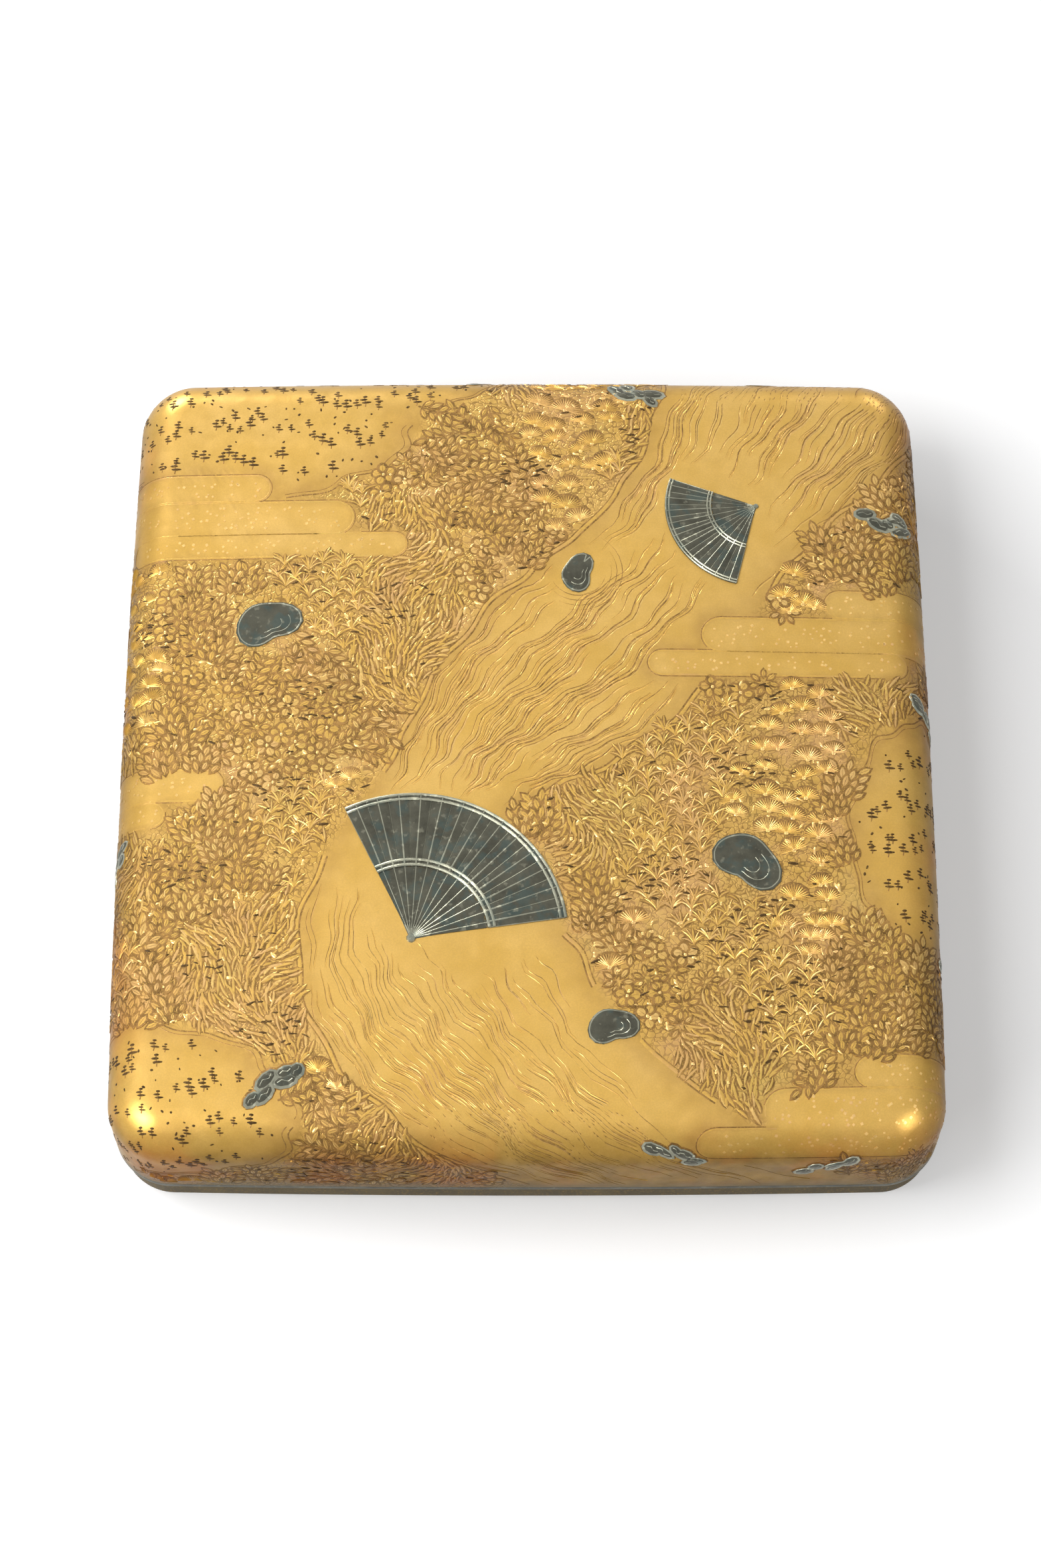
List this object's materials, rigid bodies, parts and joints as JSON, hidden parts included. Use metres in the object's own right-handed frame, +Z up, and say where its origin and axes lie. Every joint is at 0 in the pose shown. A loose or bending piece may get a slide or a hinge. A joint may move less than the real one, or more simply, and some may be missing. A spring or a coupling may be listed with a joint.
{
  "type": "writing box",
  "caption": "Low square lacquered writing box with a domed overhanging lid, lift-out trays, a board with ink stone and water dropper, brushes, ink stick, holder and paper knife.",
  "frame": {"origin": "on the table, under the middle of the closed box", "axes": "+Z up, -Y towards the front edge, +X to the writer's right"},
  "size_m": [0.218, 0.23, 0.0442],
  "materials": {
    "gold_lacquer": "polished gold lacquer over wood",
    "sprinkled_lacquer": "gloss amber lacquer sprinkled with gold",
    "silver_rim": "tarnished silver",
    "silver_inlay": "tarnished sheet silver",
    "ink_stone": "honed dark slate",
    "dropper_metal": "satin patinated copper alloy",
    "handle_wood": "gloss dark lacquer over bamboo",
    "brush_hair": "matte goat hair",
    "ink": "matte pressed soot",
    "blade_steel": "satin steel"
  },
  "bodies": {
    "box": {"floor_board": "gold_lacquer", "lid_ledge_back": "gold_lacquer", "lid_ledge_left": "gold_lacquer", "lid_ledge_front": "gold_lacquer", "lid_ledge_right": "gold_lacquer", "body_wall_back": "sprinkled_lacquer", "body_wall_left": "sprinkled_lacquer", "body_wall_front": "sprinkled_lacquer", "body_wall_right": "sprinkled_lacquer", "body_rim": "silver_rim"},
    "lid": {"lid_panel": "gold_lacquer", "lid_wall_back": "gold_lacquer", "lid_wall_left": "gold_lacquer", "lid_wall_front": "gold_lacquer", "lid_wall_right": "gold_lacquer", "lid_rim": "silver_rim", "fan_leaf_large": "silver_inlay", "fan_ribs_large": "silver_inlay", "fan_leaf_small": "silver_inlay", "fan_ribs_small": "silver_inlay", "stone_inlay_1": "silver_inlay", "stone_inlay_2": "silver_inlay", "stone_inlay_3": "silver_inlay", "stone_inlay_4": "silver_inlay"},
    "board": {"stone_board": "sprinkled_lacquer", "board_batten_front": "sprinkled_lacquer", "board_batten_middle": "sprinkled_lacquer", "board_batten_back": "sprinkled_lacquer"},
    "ink_stone": {"ink_stone": "ink_stone"},
    "water_dropper": {"dropper_vessel": "dropper_metal", "dropper_cover": "dropper_metal", "dropper_boss": "dropper_metal", "dropper_spout": "dropper_metal"},
    "left_tray": {"left_tray_floor": "sprinkled_lacquer", "left_tray_walls": "sprinkled_lacquer", "brush_rest_front": "sprinkled_lacquer", "brush_rest_back": "sprinkled_lacquer"},
    "right_tray": {"right_tray_floor": "sprinkled_lacquer", "right_tray_walls": "sprinkled_lacquer", "tray_divider": "sprinkled_lacquer"},
    "left_brush": {"brush_left_handle": "handle_wood", "brush_left_tuft": "brush_hair"},
    "right_brush": {"brush_right_handle": "handle_wood", "brush_right_tuft": "brush_hair"},
    "left_cap": {"brush_left_cap": "handle_wood"},
    "right_cap": {"brush_right_cap": "handle_wood"},
    "ink_stick": {"ink_stick": "ink"},
    "ink_holder": {"holder_jaw_left": "handle_wood", "holder_jaw_right": "handle_wood", "holder_heel": "handle_wood"},
    "holder_ring": {"holder_ring": "silver_rim"},
    "paper_knife": {"knife_handle": "handle_wood", "knife_collar": "silver_rim", "knife_blade": "blade_steel"}
  },
  "joints": [
    {"name": "lid_lift", "type": "slide", "parent": "box", "child": "lid", "axis": [0, 0, 1], "range_m": [0, 0.16]},
    {"name": "board_lift", "type": "slide", "parent": "box", "child": "board", "axis": [0, 0, 1], "range_m": [0, 0.032]},
    {"name": "ink_stone_lift", "type": "slide", "parent": "board", "child": "ink_stone", "axis": [0, 0, 1], "range_m": [0, 0.032]},
    {"name": "dropper_lift", "type": "slide", "parent": "board", "child": "water_dropper", "axis": [0, 0, 1], "range_m": [0, 0.032]},
    {"name": "left_tray_lift", "type": "slide", "parent": "box", "child": "left_tray", "axis": [0, 0, 1], "range_m": [0, 0.048]},
    {"name": "right_tray_lift", "type": "slide", "parent": "box", "child": "right_tray", "axis": [0, 0, 1], "range_m": [0, 0.048]},
    {"name": "left_brush_lift", "type": "slide", "parent": "left_tray", "child": "left_brush", "axis": [0, 0, 1], "range_m": [0, 0.032]},
    {"name": "right_brush_lift", "type": "slide", "parent": "left_tray", "child": "right_brush", "axis": [0, 0, 1], "range_m": [0, 0.032]},
    {"name": "left_cap_slide", "type": "slide", "parent": "left_brush", "child": "left_cap", "axis": [0, 1, 0], "range_m": [0, 0.02]},
    {"name": "right_cap_slide", "type": "slide", "parent": "right_brush", "child": "right_cap", "axis": [0, 1, 0], "range_m": [0, 0.02]},
    {"name": "ink_stick_lift", "type": "slide", "parent": "right_tray", "child": "ink_stick", "axis": [0, 0, 1], "range_m": [0, 0.032]},
    {"name": "ink_holder_lift", "type": "slide", "parent": "right_tray", "child": "ink_holder", "axis": [0, 0, 1], "range_m": [0, 0.032]},
    {"name": "holder_ring_slide", "type": "slide", "parent": "ink_holder", "child": "holder_ring", "axis": [0, 1, 0], "range_m": [0, 0.05]},
    {"name": "paper_knife_lift", "type": "slide", "parent": "right_tray", "child": "paper_knife", "axis": [0, 0, 1], "range_m": [0, 0.032]}
  ],
  "couplings": [
    {"joint": "board_lift", "follows": "lid_lift", "ratio": 0.2},
    {"joint": "ink_stone_lift", "follows": "lid_lift", "ratio": 0.2},
    {"joint": "dropper_lift", "follows": "lid_lift", "ratio": 0.2},
    {"joint": "left_tray_lift", "follows": "lid_lift", "ratio": 0.3},
    {"joint": "right_tray_lift", "follows": "lid_lift", "ratio": 0.3},
    {"joint": "left_brush_lift", "follows": "lid_lift", "ratio": 0.2},
    {"joint": "right_brush_lift", "follows": "lid_lift", "ratio": 0.2},
    {"joint": "ink_stick_lift", "follows": "lid_lift", "ratio": 0.2},
    {"joint": "ink_holder_lift", "follows": "lid_lift", "ratio": 0.2},
    {"joint": "paper_knife_lift", "follows": "lid_lift", "ratio": 0.2}
  ]
}
